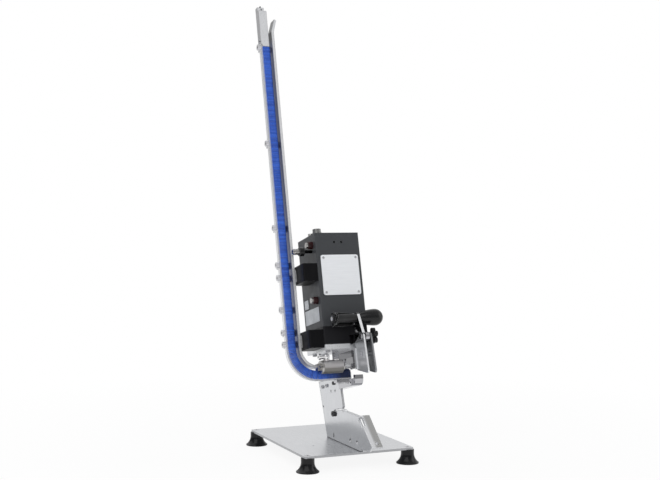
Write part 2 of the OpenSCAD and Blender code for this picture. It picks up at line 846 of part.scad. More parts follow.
follower_x0 = rail_x;
follower_x1 = rail_x + follower_w;
follower_z = stack_top + gap;
follower_step = 8;

module follower_weight() {
    y0 = rail_mid - clip_w / 2;
    color(bright) machine() difference() {
        union() {
            block([follower_x0, y0, follower_z],
                [follower_x1, y0 + clip_w, follower_z + follower_h - follower_step]);
            block([follower_x0, y0 + clip_w / 3, follower_z],
                [follower_x1 - 3, y0 + clip_w, follower_z + follower_h]);
        }
        rod_z(follower_z + follower_h - 8, follower_z + follower_h + cut, follower_x0 + follower_w / 2,
            rail_mid + clip_w / 6, 3.02);
        rod_y(y0, y0 + clip_w + cut, follower_x0 + follower_w / 2, follower_z + follower_h - 4, 2.5);
        // Groove that runs on the outer bar, relief for the top tie and the sloped corner
        block([follower_x0 - cut, tongue_front - gap, follower_z - cut],
            [follower_x1 + cut, tongue_back + gap, rail_top + 6]);
        block([follower_x0 - cut, tongue_back, follower_z - cut],
            [rail_x + outer_t + gap, y0 + clip_w + cut, top_tie_z + tie_h / 2 + gap]);
        along_y(y0 - cut, y0 + clip_w + cut) polygon([[follower_x0 - cut, follower_z - cut],
            [follower_x0 + 3.5, follower_z - cut], [follower_x0 + 3, follower_z + 1],
            [follower_x0 + 1, follower_z + 4], [follower_x0 - cut, follower_z + 7]]);
    }
}

module follower_pin() {
    color(dark_steel) machine() rod_z(follower_z + follower_h - 8, follower_z + follower_h + 4,
        follower_x0 + follower_w / 2, rail_mid + clip_w / 6, 3);
}

// FITTINGS: air inlet, silencer, plug and push buttons

inlet_drop = 30;
inlet_at = [22, body_h - inlet_drop];
inlet_stem_d = 6;
inlet_stem_l = 16;
collar_d = 16;
collar_l = 8;
nipple_d = 9;
nipple_l = 13;
collar_x = body_left - inlet_stem_l;

module air_inlet() {
    tip = collar_x - collar_l - nipple_l;
    color(bright) machine() difference() {
        union() {
            rod_x(collar_x - collar_l, body_left + 8, inlet_at[0], inlet_at[1], inlet_stem_d);
            rod_x(tip, collar_x - collar_l, inlet_at[0], inlet_at[1], nipple_d);
        }
        rod_x(tip - cut, body_left + 4, inlet_at[0], inlet_at[1], inlet_bore);
    }
}

module inlet_collar() {
    color(black) machine() difference() {
        rod_x(collar_x - collar_l, collar_x, inlet_at[0], inlet_at[1], collar_d);
        rod_x(collar_x - collar_l - cut, collar_x + cut, inlet_at[0], inlet_at[1], inlet_stem_d + 0.02);
    }
}

silencer_at = [body_left + 12.7, 20];
plug_at = [body_left + 6, 34];

module top_silencer() {
    color(steel) machine() difference() {
        union() {
            rod_z(body_h, body_h + 4, silencer_at[0], silencer_at[1], 17);
            rod_z(body_h + 4, body_h + 10.5, silencer_at[0], silencer_at[1], 15);
            rod_z(body_h - 4, body_h, silencer_at[0], silencer_at[1], 10);
        }
        rod_z(body_h + 3, body_h + 12, silencer_at[0], silencer_at[1], 6);
    }
}

module top_plug() {
    color(steel) machine() {
        rod_z(body_h, body_h + 5, plug_at[0], plug_at[1], 9);
        rod_z(body_h - 4, body_h, plug_at[0], plug_at[1], 5);
    }
}

button_at = [[17.8, body_h - 19.4], [16.1, 80.5]];
plunger_d = 10;
plunger_out = 3.4;

module button_collar(p) {
    color([0.35, 0.05, 0.06]) machine() difference() {
        rod_x(body_left - button_out, body_left, p[0], p[1], button_d);
        rod_x(body_left - button_out - cut, body_left + cut, p[0], p[1], plunger_d + 2 * run);
    }
}

module button(p) {
    color(bright) machine()
        rod_x(body_left - button_out - plunger_out, body_left + 6, p[0], p[1], plunger_d);
}

// LEVER: bracket, pin, star knob, sheet lever with cheeks, handle bolt and grip

bracket_w = 7;
bracket_nose_r = 8;
bracket_base_t = 4;
bracket_screw_z = [20, 29];

module at_bracket_screws() {
    for (z = bracket_screw_z) translate([cheek_mid, 0, z]) children();
}

module pivot_bracket() {
    color(dark_steel) machine() difference() {
        union() {
            along_x(cheek_mid - bracket_w / 2, cheek_mid + bracket_w / 2) {
                translate([pivot_y, pivot_z]) circle(bracket_nose_r);
                polygon([[pivot_y + 1, pivot_z - bracket_nose_r], [0, 2], [0, head_h + 1],
                    [-bracket_base_t, head_h + 1], [-bracket_base_t - 2, 18],
                    [pivot_y + 1, pivot_z + bracket_nose_r]]);
            }
        }
        rod_x(cheek_mid - bracket_w, cheek_mid + bracket_w, pivot_y, pivot_z, pivot_d + 2 * run);
        at_bracket_screws() rotate([90, 0, 0]) {
            translate([0, 0, -cut]) cylinder(h = pivot_out, d = 4 + 2 * slack);
            translate([0, 0, bracket_base_t]) cylinder(h = pivot_out, d = 7.4);
        }
    }
}

module bracket_screws() {
    color(steel) machine() at_bracket_screws() translate([0, -bracket_base_t, 0]) rotate([90, 0, 0]) {
        cylinder(h = 2.6, d = 7);
        translate([0, 0, -bracket_base_t - 9]) cylinder(h = bracket_base_t + 9, d = 4);
    }
}

knob_x = right_cheek_x + lever_sheet / 2 + gap;
knob_collar = 2;
knob_t = 6;
knob_end = knob_x + knob_collar + knob_t;
knob_hub_d = 15;
pin_head_d = 11;
pin_head_t = 3;

module pivot_pin() {
    head_x = left_cheek_x - lever_sheet / 2 - gap;
    color(bright) machine() {
        rod_x(head_x - pin_head_t, head_x, pivot_y, pivot_z, pin_head_d);
        rod_x(head_x, knob_end - 2, pivot_y, pivot_z, pivot_d);
    }
}

module star_knob() {
    lobes = 5;
    lobe_d = 10;
    lobe_r = knob_d / 2 - lobe_d / 2;
    color(black) machine() difference() {
        union() {
            rod_x(knob_x, knob_end, pivot_y, pivot_z, knob_hub_d);
            along_x(knob_x + knob_collar, knob_end) translate([pivot_y, pivot_z])
                for (i = [0 : lobes - 1]) rotate(90 + i * 360 / lobes) {
                    translate([lobe_r, 0]) circle(d = lobe_d);
                    translate([0, -lobe_d * 0.35]) square([lobe_r, lobe_d * 0.7]);
                }
        }
        rod_x(knob_x - cut, knob_end - 2 + gap, pivot_y, pivot_z, pivot_d + 2 * run);
    }
}

// Outline of one gathering cheek, hanging from the pivot.
cheek_low = -58.4;
cheek_front = pivot_y - 12.7;
cheek_reach = 31.4;
cheek_back = pivot_y + cheek_reach;
cheek_nose_r = 7;
lip_w = 3.5;

module cheek_2d() {
    translate([pivot_y, pivot_z]) circle(cheek_nose_r);
    polygon([
        [pivot_y - cheek_nose_r, pivot_z], [cheek_front, cheek_low + 5], [cheek_front + 0.8, cheek_low + 1.9],
        [cheek_front + 3.6, cheek_low], [cheek_front + 7, cheek_low + 0.8], [cheek_back, cheek_low + 9.5],
        [cheek_back, -11], [-1.2, -8], [-1.2, -4], [pivot_y + 4.5, pivot_z + 5.3]
    ]);
}

module lever_bores() {
    rod_x(left_cheek_x - 20, right_cheek_x + 20, pivot_y, pivot_z, pivot_d + 2 * run);
    rod_x(left_cheek_x - 20, right_cheek_x + 20, spacer_at[0], spacer_at[1], spacer_bolt_d + 2 * slack);
    rod_x(ear_x0 - cut, arm_x1 + cut, handle_y, handle_z, handle_bolt_d + 2 * slack);
}

lever_top = 9;
web_y = handle_y + sleeve_d / 2 + 1.2;

// Folded sheet: left cheek, arm with a stiffening strip, web behind the sleeve and the handle's ear.
module hand_lever() {
    top_z = handle_z + lever_top;
    color(bright) machine() difference() {
        union() {
            along_x(left_cheek_x - lever_sheet / 2, left_cheek_x + lever_sheet / 2) cheek_2d();
            // Lip folded out along the cheek's back edge
            block([left_cheek_x - lever_sheet / 2 - lip_w, cheek_back - lever_sheet, cheek_low + 11],
                [left_cheek_x, cheek_back, -11]);
            along_x(arm_x0, arm_x1)
                polygon([[pivot_y - 6, pivot_z + cheek_nose_r - 1], [handle_y - sleeve_d / 2 + 1, top_z - 3],
                    [handle_y - sleeve_d / 2 + 4, top_z], [web_y + lever_sheet, top_z],
                    [web_y + lever_sheet, handle_z - 12], [pivot_y + 7, pivot_z + cheek_nose_r - 1]]);
            // Web behind the sleeve
            along_y(web_y, web_y + lever_sheet)
                polygon([[ear_x0, handle_z - 13], [ear_x0 + 20, handle_z - 13],
                [arm_x1, handle_z - 10], [arm_x1, top_z], [ear_x0 + 10, top_z + 3], [ear_x0, top_z + 3]]);
            // Ear with a round front
            along_x(ear_x0, ear_x1) {
                translate([handle_y, handle_z]) circle(12);
                translate([handle_y, handle_z - 12]) square([web_y + lever_sheet - handle_y, 24]);
            }
        }
        lever_bores();
    }
}

module right_cheek() {
    color(bright) machine() difference() {
        along_x(right_cheek_x - lever_sheet / 2, right_cheek_x + lever_sheet / 2) cheek_2d();
        lever_bores();
    }
}

spacer_drop = 30;
spacer_at = [pivot_y + 6, pivot_z - spacer_drop];
spacer_bolt_d = 4;

// Tube and rivet that join the two cheeks.
module cheek_spacer() {
    half = cheek_gap / 2 - lever_sheet / 2;
    color(steel) machine() {
        rod_x(cheek_mid - half, cheek_mid + half, spacer_at[0], spacer_at[1], 8);
        rod_x(cheek_mid - half - lever_sheet, cheek_mid + half + lever_sheet, spacer_at[0], spacer_at[1],
            spacer_bolt_d);
        for (s = [-1, 1]) translate([cheek_mid + s * (half + lever_sheet + 0.6), spacer_at[0], spacer_at[1]])
            rotate([0, 90, 0]) cylinder(h = 1.2, d = 7, center = true);
    }
}

module handle_sleeve() {
    color(black) machine() difference() {
        rod_x(ear_x1, arm_x0, handle_y, handle_z, sleeve_d);
        rod_x(ear_x1 - cut, arm_x0 + cut, handle_y, handle_z, handle_bolt_d + 2 * slack);
    }
}

bolt_recess = 8;
nut_l = 4.5;
grip_end = grip_x + grip_l;
handle_head_d = 1.6 * handle_bolt_d;

module handle_bolt() {
    color(steel) machine() {
        rod_x(ear_x0 - nut_l - 0.6, grip_end - bolt_recess, handle_y, handle_z, handle_bolt_d);
        rod_x(grip_end - bolt_recess + gap, grip_end - 2, handle_y, handle_z, handle_head_d);
        rod_x(grip_end - bolt_recess - cut, grip_end - bolt_recess + cut, handle_y, handle_z, handle_bolt_d);
    }
}

module handle_nut() {
    color(bright) machine() difference() {
        union() {
            translate([ear_x0 - nut_l, handle_y, handle_z]) rotate([0, 90, 0])
                cylinder(h = nut_l - 0.5, d = 1.85 * handle_bolt_d, $fn = 6);
            rod_x(ear_x0 - 1, ear_x0, handle_y, handle_z, 2.1 * handle_bolt_d);
        }
        rod_x(ear_x0 - nut_l - cut, ear_x0 + cut, handle_y, handle_z, handle_bolt_d + 0.02);
    }
}

// Tapered grip that turns on the bolt, swelling to a round end.
module grip() {
    end_r = grip_d / 2;
    swell_l = grip_l - end_r;
    swell = end_r - grip_neck_d / 2;
    arc_r = (swell_l * swell_l + swell * swell) / (2 * swell);
    color(black) machine() difference() {
        translate([grip_x, handle_y, handle_z]) rotate([0, 90, 0]) rotate_extrude($fn = 96) {
            intersection() {
                square([end_r, swell_l]);
                translate([end_r - arc_r, swell_l]) circle(arc_r, $fn = 256);
            }
            translate([0, swell_l]) intersection() {
                circle(end_r);
                square(end_r);
            }
        }
        rod_x(grip_x - cut, grip_end + cut, handle_y, handle_z, handle_bolt_d + 2 * run);
        rod_x(grip_end - bolt_recess, grip_end + cut, handle_y, handle_z, handle_head_d + 2 * gap);
    }
}

// FEED: small air cylinder above the level run

feed_y = rail_front - feed_d / 2 - 1;
feed_z = -37.5;
feed_x0 = -66;
feed_x1 = feed_x0 + feed_l;
cap_l = 11;
feed_rod_d = 8;
feed_post_x = feed_x0 + 27;
elbow_x = feed_x0 + 9;
elbow_d = 8;
elbow_z = -19;

module feed_cylinder() {
    color([0.55, 0.53, 0.50]) machine() difference() {
        union() {
            rod_x(feed_x0, feed_x1, feed_y, feed_z, feed_d);
            for (x = [feed_post_x, elbow_x]) rod_z(feed_z, feed_z + feed_d / 2 + 1, x, feed_y, 12);
        }
        rod_z(feed_z + feed_d / 2 - 5, feed_z + feed_d, elbow_x, feed_y, elbow_d - 2 + 2 * slack);
        rod_x(feed_x1 - feed_travel - 14, feed_x1 + cut, feed_y, feed_z, feed_rod_d + 2 * run);
        rod_z(feed_z + feed_d / 2 - 5, feed_z + feed_d, feed_post_x, feed_y, 5 + 2 * slack);
    }
}

module feed_end_cap() {
    color(dark_steel) machine() {
        rod_x(feed_x0 - 4, feed_x0, feed_y, feed_z, feed_d - 1);
        difference() {
            block([feed_x0 - cap_l, feed_y - 6, feed_z - 6], [feed_x0 - 4 + 0.01, feed_y + 6, feed_z + 6]);
            rod_y(feed_y - 8, feed_y + 8, feed_x0 - cap_l + 4, feed_z, 4);
        }
    }
}

module feed_rod() {
    color(bright) machine() {
        rod_x(feed_x1 - 12, feed_x1 + 4, feed_y, feed_z, feed_rod_d);
        rod_x(feed_x1 + gap, feed_x1 + 4, feed_y, feed_z, feed_d * 0.6);
    }
}

// Threaded post with a hexagon that hangs the feed cylinder from the flange plate.
module feed_post() {
    seat = feed_z + feed_d / 2 + 1;
    color(steel) machine() {
        rod_z(seat - 4.5, flange_low + 5, feed_post_x, feed_y, 5);
        translate([feed_post_x, feed_y, seat]) cylinder(h = flange_low - seat, d = 12, $fn = 6);
    }
}

// Push-in elbow that brings the air to the feed cylinder.
module feed_elbow() {
    seat = feed_z + feed_d / 2 + 1;
    tip = elbow_x - 15;
    color(bright) machine() difference() {
        union() {
            rod_z(seat - 4, seat, elbow_x, feed_y, elbow_d - 2);
            rod_z(seat, elbow_z, elbow_x, feed_y, elbow_d + 3);
            translate([elbow_x, feed_y, elbow_z]) sphere(d = elbow_d + 4.6);
            rod_x(tip, elbow_x, feed_y, elbow_z, elbow_d + 1);
            rod_x(tip, tip + 4, feed_y, elbow_z, elbow_d + 3);
        }
        rod_x(tip - cut, elbow_x, feed_y, elbow_z, inlet_bore);
    }
}

base_plate();
foot(-1, -1);  // foot_front_left
foot(1, -1);  // foot_front_right
foot(-1, 1);  // foot_back_left
foot(1, 1);  // foot_back_right
foot_screws();
stand_bracket();
stand_foot_bolts();
stand_bolts();
c_frame();
die();
flange_plate();
flange_bolts();
punch_guide();
lower_head();
body_housing();
housing_lid();
lid_screws();
piston();
piston_seal();
piston_rod();
crosshead();
punch();
nameplate();
nameplate_screws();
rail_block(upper_block_z);  // upper_rail_block
rail_block(lower_block_z);  // lower_rail_block
rail_spacers();
outer_rail();
inner_rail();
rail_ties();
rail_screws();
rail_support();
clip_stack();
follower_weight();
follower_pin();
air_inlet();
inlet_collar();
top_silencer();
top_plug();
button_collar(button_at[0]);  // upper_button_collar
button_collar(button_at[1]);  // lower_button_collar
button(button_at[0]);  // upper_button
button(button_at[1]);  // lower_button
pivot_bracket();
bracket_screws();
pivot_pin();
star_knob();
hand_lever();
right_cheek();
cheek_spacer();
handle_sleeve();
handle_bolt();
handle_nut();
grip();
feed_cylinder();
feed_end_cap();
feed_rod();
feed_post();
feed_elbow();
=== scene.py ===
# Looks of a table-top sausage clipper: base and feet first, then the stand, the machine, its clip rail,
# the fittings, the hand lever and last the studio. Sizes are in metres unless a name ends in _mm.
import math
import bmesh
import bpy
from mathutils import Matrix, Vector


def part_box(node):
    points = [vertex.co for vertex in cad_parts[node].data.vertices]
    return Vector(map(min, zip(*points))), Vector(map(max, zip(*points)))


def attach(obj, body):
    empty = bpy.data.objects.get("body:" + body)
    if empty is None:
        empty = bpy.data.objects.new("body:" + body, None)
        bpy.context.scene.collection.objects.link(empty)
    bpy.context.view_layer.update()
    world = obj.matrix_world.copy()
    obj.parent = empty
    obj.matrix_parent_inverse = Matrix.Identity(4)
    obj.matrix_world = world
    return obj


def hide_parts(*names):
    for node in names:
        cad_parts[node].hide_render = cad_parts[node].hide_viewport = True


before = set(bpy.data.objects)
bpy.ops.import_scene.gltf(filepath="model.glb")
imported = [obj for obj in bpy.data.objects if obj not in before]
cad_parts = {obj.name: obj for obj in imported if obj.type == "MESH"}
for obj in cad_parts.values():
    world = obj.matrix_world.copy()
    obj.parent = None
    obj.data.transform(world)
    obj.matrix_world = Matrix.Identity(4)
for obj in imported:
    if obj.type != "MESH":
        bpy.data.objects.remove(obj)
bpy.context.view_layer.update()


# Base plate: a flat stainless sheet, cut with round corners and ground in one direction.
# It carries the stand and sits on the feet's necks.
base_light = (0.70, 0.71, 0.73, 1)
base_dark = (0.62, 0.63, 0.65, 1)
base_side_grey = (0.40, 0.405, 0.42, 1)
brush_along_y = (1.0, 0.02, 1.0)
facing_up = (0, 0, 1)


def start_finish(name, metallic, roughness, shine=0.5):
    """An empty finish with its shader's plain values set."""
    finish = bpy.data.materials.new(name)
    finish.use_nodes = True
    shader = finish.node_tree.nodes["Principled BSDF"]
    shader.inputs["Metallic"].default_value = metallic
    shader.inputs["Roughness"].default_value = roughness
    shader.inputs["Specular IOR Level"].default_value = shine
    return finish, finish.node_tree, shader


def grain(tree, per_metre, detail, stretch=(1, 1, 1)):
    """Noise in the piece's own metres, drawn out where a stretch is below 1."""
    place = tree.nodes.new("ShaderNodeTexCoord")
    spread = tree.nodes.new("ShaderNodeMapping")
    spread.inputs["Scale"].default_value = stretch
    noise = tree.nodes.new("ShaderNodeTexNoise")
    noise.inputs["Scale"].default_value = per_metre
    noise.inputs["Detail"].default_value = detail
    tree.links.new(place.outputs["Object"], spread.inputs["Vector"])
    tree.links.new(spread.outputs["Vector"], noise.inputs["Vector"])
    return noise.outputs["Fac"]


def between(tree, factor, low, high, start=0.3, end=0.7):
    """A number that runs from low to high as the factor runs from start to end."""
    span = tree.nodes.new("ShaderNodeMapRange")
    for socket, value in (("From Min", start), ("From Max", end), ("To Min", low), ("To Max", high)):
        span.inputs[socket].default_value = value
    tree.links.new(factor, span.inputs["Value"])
    return span.outputs["Result"]


def tint(tree, factor, first, second):
    """A colour between two, by the factor."""
    mix = tree.nodes.new("ShaderNodeMix")
    mix.data_type = "RGBA"
    colours = [socket for socket in mix.inputs if socket.type == "RGBA"]
    for socket, value in zip(colours, (first, second)):
        if isinstance(value, tuple):
            socket.default_value = value
        else:
            tree.links.new(value, socket)
    tree.links.new(factor, mix.inputs["Factor"])
    return [socket for socket in mix.outputs if socket.type == "RGBA"][0]


def rounded_edges(tree, radius):
    """Normals that run round the sharp edges, as deburring leaves them."""
    bevel = tree.nodes.new("ShaderNodeBevel")
    bevel.samples = 4
    bevel.inputs["Radius"].default_value = radius
    return bevel.outputs["Normal"]


def relief(tree, shader, height, depth, edge_radius):
    """Fine relief on top of rounded edges."""
    bump = tree.nodes.new("ShaderNodeBump")
    bump.inputs["Distance"].default_value = depth
    tree.links.new(height, bump.inputs["Height"])
    tree.links.new(rounded_edges(tree, edge_radius), bump.inputs["Normal"])
    tree.links.new(bump.outputs["Normal"], shader.inputs["Normal"])


def sharp_edges(tree, radius):
    """A factor that is 1 on sharp edges and 0 on the faces."""
    face = tree.nodes.new("ShaderNodeNewGeometry")
    match = tree.nodes.new("ShaderNodeVectorMath")
    match.operation = "DOT_PRODUCT"
    tree.links.new(rounded_edges(tree, radius), match.inputs[0])
    tree.links.new(face.outputs["Normal"], match.inputs[1])
    return between(tree, match.outputs["Value"], low=1.0, high=0.0, start=0.80, end=0.97)


def brushed_metal(name, light, dark, stretch, lines_per_metre, rough, bare=1.0, depth=0.00003,
                  edge_radius=0.0006):
    """Ground or brushed metal: fine lines in colour, gloss and relief, with broad soft stains."""
    rough_low, rough_high = rough
    finish, tree, shader = start_finish(name, bare, rough_low)
    lines = grain(tree, lines_per_metre, detail=3, stretch=stretch)
    stains = grain(tree, per_metre=14, detail=2)
    metal = tint(tree, between(tree, lines, 0, 1), dark, light)
    stained = tint(tree, between(tree, stains, 0, 0.35), metal, dark)
    tree.links.new(stained, shader.inputs["Base Color"])
    tree.links.new(between(tree, lines, rough_high, rough_low), shader.inputs["Roughness"])
    relief(tree, shader, lines, depth, edge_radius)
    return finish


def dress(finish, *names):
    """Gives CAD nodes a finish."""
    for name in names:
        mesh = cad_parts[name].data
        mesh.materials.clear()
        mesh.materials.append(finish)


def facing(tree, way, start, end):
    """A factor that rises to 1 where a face looks one way."""
    face = tree.nodes.new("ShaderNodeNewGeometry")
    match = tree.nodes.new("ShaderNodeVectorMath")
    match.operation = "DOT_PRODUCT"
    match.inputs[1].default_value = way
    tree.links.new(face.outputs["Normal"], match.inputs[0])
    return between(tree, match.outputs["Value"], 0, 1, start, end)


def paint_over(finish, share, colour):
    """Covers a finish with another colour where share, a function of its tree, gives 1."""
    tree = finish.node_tree
    skin = tree.nodes["Principled BSDF"].inputs["Base Color"]
    tree.links.new(tint(tree, share(tree), skin.links[0].from_socket, colour), skin)
    return finish


def turned_to(way, start, end):
    """A share of the faces that look one way."""
    def share(tree):
        return facing(tree, way, start, end)
    return share


base_steel = brushed_metal("base_stainless", base_light, base_dark, brush_along_y, lines_per_metre=1400,
                           rough=(0.26, 0.38), depth=0.000008)
# The sides and underside are given a darker grey than the ground top.
cut_sides = turned_to(facing_up, start=0.5, end=0.2)
dress(paint_over(base_steel, cut_sides, base_side_grey), "base_plate")


# Suction feet: moulded black rubber cups, screwed up against the plate from above.
# The rubber has a dull shine, with a little dust on what looks up. The piston's seal is of the same rubber.
rubber_black = (0.003, 0.003, 0.004, 1)
rubber_dusty = (0.008, 0.008, 0.009, 1)


def join_factors(tree, first, second):
    """The product of two factors."""
    product = tree.nodes.new("ShaderNodeMath")
    product.operation = "MULTIPLY"
    tree.links.new(first, product.inputs[0])
    tree.links.new(second, product.inputs[1])
    return product.outputs["Value"]


rubber, tree, shader = start_finish("foot_rubber", metallic=0.0, roughness=0.25, shine=0.3)
patches = between(tree, grain(tree, per_metre=160, detail=4), 0.2, 1.0)
dust = join_factors(tree, facing(tree, facing_up, start=0.2, end=1.0), patches)
gloss = between(tree, grain(tree, per_metre=420, detail=3), 0.16, 0.28)
tree.links.new(tint(tree, dust, rubber_black, rubber_dusty), shader.inputs["Base Color"])
tree.links.new(gloss, shader.inputs["Roughness"])
relief(tree, shader, grain(tree, per_metre=1500, detail=2), depth=0.00001, edge_radius=0.0008)
dress(rubber, "foot_front_left", "foot_front_right", "foot_back_left", "foot_back_right", "piston_seal")


# Stand: one polished stainless sheet, folded at the gusset's front and along its foot.
# The polish leaves hairlines and soft stains. The sloping fold carries a painted highlight and its flange
# painted shade, and the sheared front edges and a line along the foot are painted dark as painted shade.
polish_light = (0.66, 0.67, 0.69, 1)
polish_dark = (0.575, 0.585, 0.605, 1)
foot_shade_dark = (0.16, 0.16, 0.17, 1)
front_edge_shade = (0.20, 0.20, 0.21, 1)
bend_highlight = (0.88, 0.89, 0.91, 1)
flange_shade = (0.48, 0.48, 0.475, 1)
flange_way = (0, -0.64, 0.77)
facing_front = (0, -1, 0)
bend_start, bend_end = 0.0065, 0.0115
foot_shade_height = 0.0014
foot_shade_fade = 0.0006
brush_upright = (1.0, 1.0, 0.05)
fold_radius = 0.0040


def along(axis, start, end):
    """A share that rises from 0 to 1 between two places along an axis of the object."""
    def share(tree):
        split = tree.nodes.new("ShaderNodeSeparateXYZ")
        tree.links.new(tree.nodes.new("ShaderNodeTexCoord").outputs["Object"], split.inputs["Vector"])
        return between(tree, split.outputs[axis], 0, 1, start, end)
    return share


def both(first, second):
    """The product of two shares."""
    def share(tree):
        return join_factors(tree, first(tree), second(tree))
    return share


# Painted shade: a dark line just above the base plate, along the stand's foot.
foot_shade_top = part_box("base_plate")[1].z + foot_shade_height
foot_shade = along("Z", foot_shade_top + foot_shade_fade, foot_shade_top)
sheared = turned_to(facing_front, start=0.85, end=0.97)
flange = turned_to(flange_way, start=0.80, end=0.95)
polished = brushed_metal("polished_stainless", polish_light, polish_dark, brush_upright, lines_per_metre=900,
                         rough=(0.14, 0.24), depth=0.00001, edge_radius=fold_radius)
# Painted shade on the stand's front-facing edges.
paint_over(polished, sheared, front_edge_shade)
# Painted highlight on the bend, then painted shade on the flange beyond it.
paint_over(polished, both(flange, along("X", bend_end, bend_start)), bend_highlight)
paint_over(polished, both(flange, along("X", bend_start, bend_end)), flange_shade)
dress(paint_over(polished, foot_shade, foot_shade_dark), "stand_bracket")


# Screws and bolts: turned steel, zinc-plated, paler along the rail and dull on the stand's side.
# Handle nut and follower pin are blackened instead. The dark ones have edges worn bright, and the stand's
# rear bolts are paler.
every_way = (1, 1, 1)
zinc_light = (0.64, 0.64, 0.66, 1)
zinc_dark = (0.44, 0.44, 0.46, 1)
pale_zinc_light = (0.74, 0.74, 0.76, 1)
pale_zinc_dark = (0.60, 0.60, 0.62, 1)
blackened = (0.022, 0.022, 0.024, 1)
bare_edge = (0.20, 0.20, 0.21, 1)
dull_zinc = (0.060, 0.060, 0.063, 1)
rear_zinc = (0.62, 0.62, 0.63, 1)
rear_start, rear_end = -0.006, -0.002


def dark_metal(name, colour):
    """Dark steel with bright worn edges."""
    rough_low, rough_high = 0.32, 0.5
    finish, tree, shader = start_finish(name, metallic=0.4, roughness=rough_low, shine=0.2)
    patches = between(tree, grain(tree, per_metre=260, detail=4), 0, 1)
    worn = join_factors(tree, sharp_edges(tree, radius=0.0008), patches)
    gloss = between(tree, grain(tree, per_metre=500, detail=3), rough_low, rough_high)
    tree.links.new(tint(tree, worn, colour, bare_edge), shader.inputs["Base Color"])
    tree.links.new(gloss, shader.inputs["Roughness"])
    relief(tree, shader, grain(tree, per_metre=1800, detail=2), depth=0.00003, edge_radius=0.0006)
    return finish


zinc = brushed_metal("zinc_screws", zinc_light, zinc_dark, every_way, lines_per_metre=900, rough=(0.24, 0.4))
pale_zinc = brushed_metal("pale_zinc_screws", pale_zinc_light, pale_zinc_dark, every_way, lines_per_metre=900,
                          rough=(0.3, 0.42), bare=0.5)
black_steel = dark_metal("blackened_steel", blackened)
dull_bolts = dark_metal("dull_bolts", dull_zinc)
dress(zinc, "flange_bolts", "stand_foot_bolts", "bracket_screws", "handle_bolt", "pivot_pin")
dress(pale_zinc, "rail_screws")
dress(black_steel, "follower_pin", "handle_nut")
dress(paint_over(dull_bolts, along("Y", rear_start, rear_end), rear_zinc), "stand_bolts")


# C-frame, die, punch and ram: ground tool steel, with the small brackets and posts that are ground like it.
# The frame carries the machine on the stand, and its top is painted darker as painted shade. The punch,
# hardened like its guide, closes each clip on the die.
ground_light = (0.52, 0.52, 0.54, 1)
ground_dark = (0.46, 0.46, 0.48, 1)
hardened_light = (0.27, 0.27, 0.28, 1)
hardened_dark = (0.19, 0.19, 0.20, 1)
ground_across = (0.05, 1, 1)
ground_depth = 0.000004
top_shade_dark = (0.15, 0.15, 0.16, 1)
top_shade_low, top_shade_high = 0.160, 0.184


def ground_metal(name):
    """Tool steel, ground across."""
    return brushed_metal(name, ground_light, ground_dark, ground_across, lines_per_metre=2400,
                         rough=(0.10, 0.18), depth=ground_depth)


hardened_steel = brushed_metal("hardened_steel", hardened_light, hardened_dark, ground_across,
                               lines_per_metre=1800, rough=(0.12, 0.22), depth=ground_depth)
dress(ground_metal("ground_steel"), "die", "piston", "piston_rod", "crosshead", "cheek_spacer", "feed_post",
      "pivot_bracket", "rail_support")
# Painted shade: the frame is painted darker towards its top, behind the cheeks.
dress(paint_over(ground_metal("top_shaded_steel"), along("Z", top_shade_low, top_shade_high), top_shade_dark), "c_frame")
dress(hardened_steel, "punch_guide", "punch")


# Body: a dark grey powder-coated housing with its lid, on a black lower head and black rail blocks.
# The coat has a fine orange-peel; its edges are lighter, as wear on the head and as painted highlights
# elsewhere.
housing_grey = (0.052, 0.055, 0.060, 1)
housing_edge_highlight = (0.10, 0.105, 0.11, 1)
head_black = (0.012, 0.012, 0.014, 1)
head_rubbed = (0.022, 0.022, 0.024, 1)
block_black = (0.004, 0.004, 0.005, 1)
block_edge_highlight = (0.11, 0.11, 0.115, 1)
coat_edge_radius = 0.0012


def powder_coat(name, colour, edge_wear_and_highlight, rough, shine):
    """Stove paint with a fine peel and a lighter edge colour, for wear and for painted highlights."""
    rough_low, rough_high = rough
    finish, tree, shader = start_finish(name, 0.0, rough_low, shine)
    patches = between(tree, grain(tree, per_metre=120, detail=5), 0, 0.9)
    edge = join_factors(tree, sharp_edges(tree, coat_edge_radius), patches)
    gloss = between(tree, grain(tree, per_metre=60, detail=4), rough_low, rough_high)
    tree.links.new(tint(tree, edge, colour, edge_wear_and_highlight), shader.inputs["Base Color"])
    tree.links.new(gloss, shader.inputs["Roughness"])
    relief(tree, shader, grain(tree, per_metre=1100, detail=2), depth=0.00005, edge_radius=coat_edge_radius)
    return finish


# The housing's and blocks' lighter edges are painted highlights; the head's are a little wear.
housing_coat = powder_coat("housing_coat", housing_grey, housing_edge_highlight, rough=(0.36, 0.48), shine=0.22)
head_coat = powder_coat("head_coat", head_black, head_rubbed, rough=(0.34, 0.46), shine=0.14)
block_coat = powder_coat("block_coat", block_black, block_edge_highlight, rough=(0.34, 0.46), shine=0.12)
dress(housing_coat, "body_housing", "housing_lid")
dress(head_coat, "lower_head")
dress(block_coat, "upper_rail_block", "lower_rail_block")


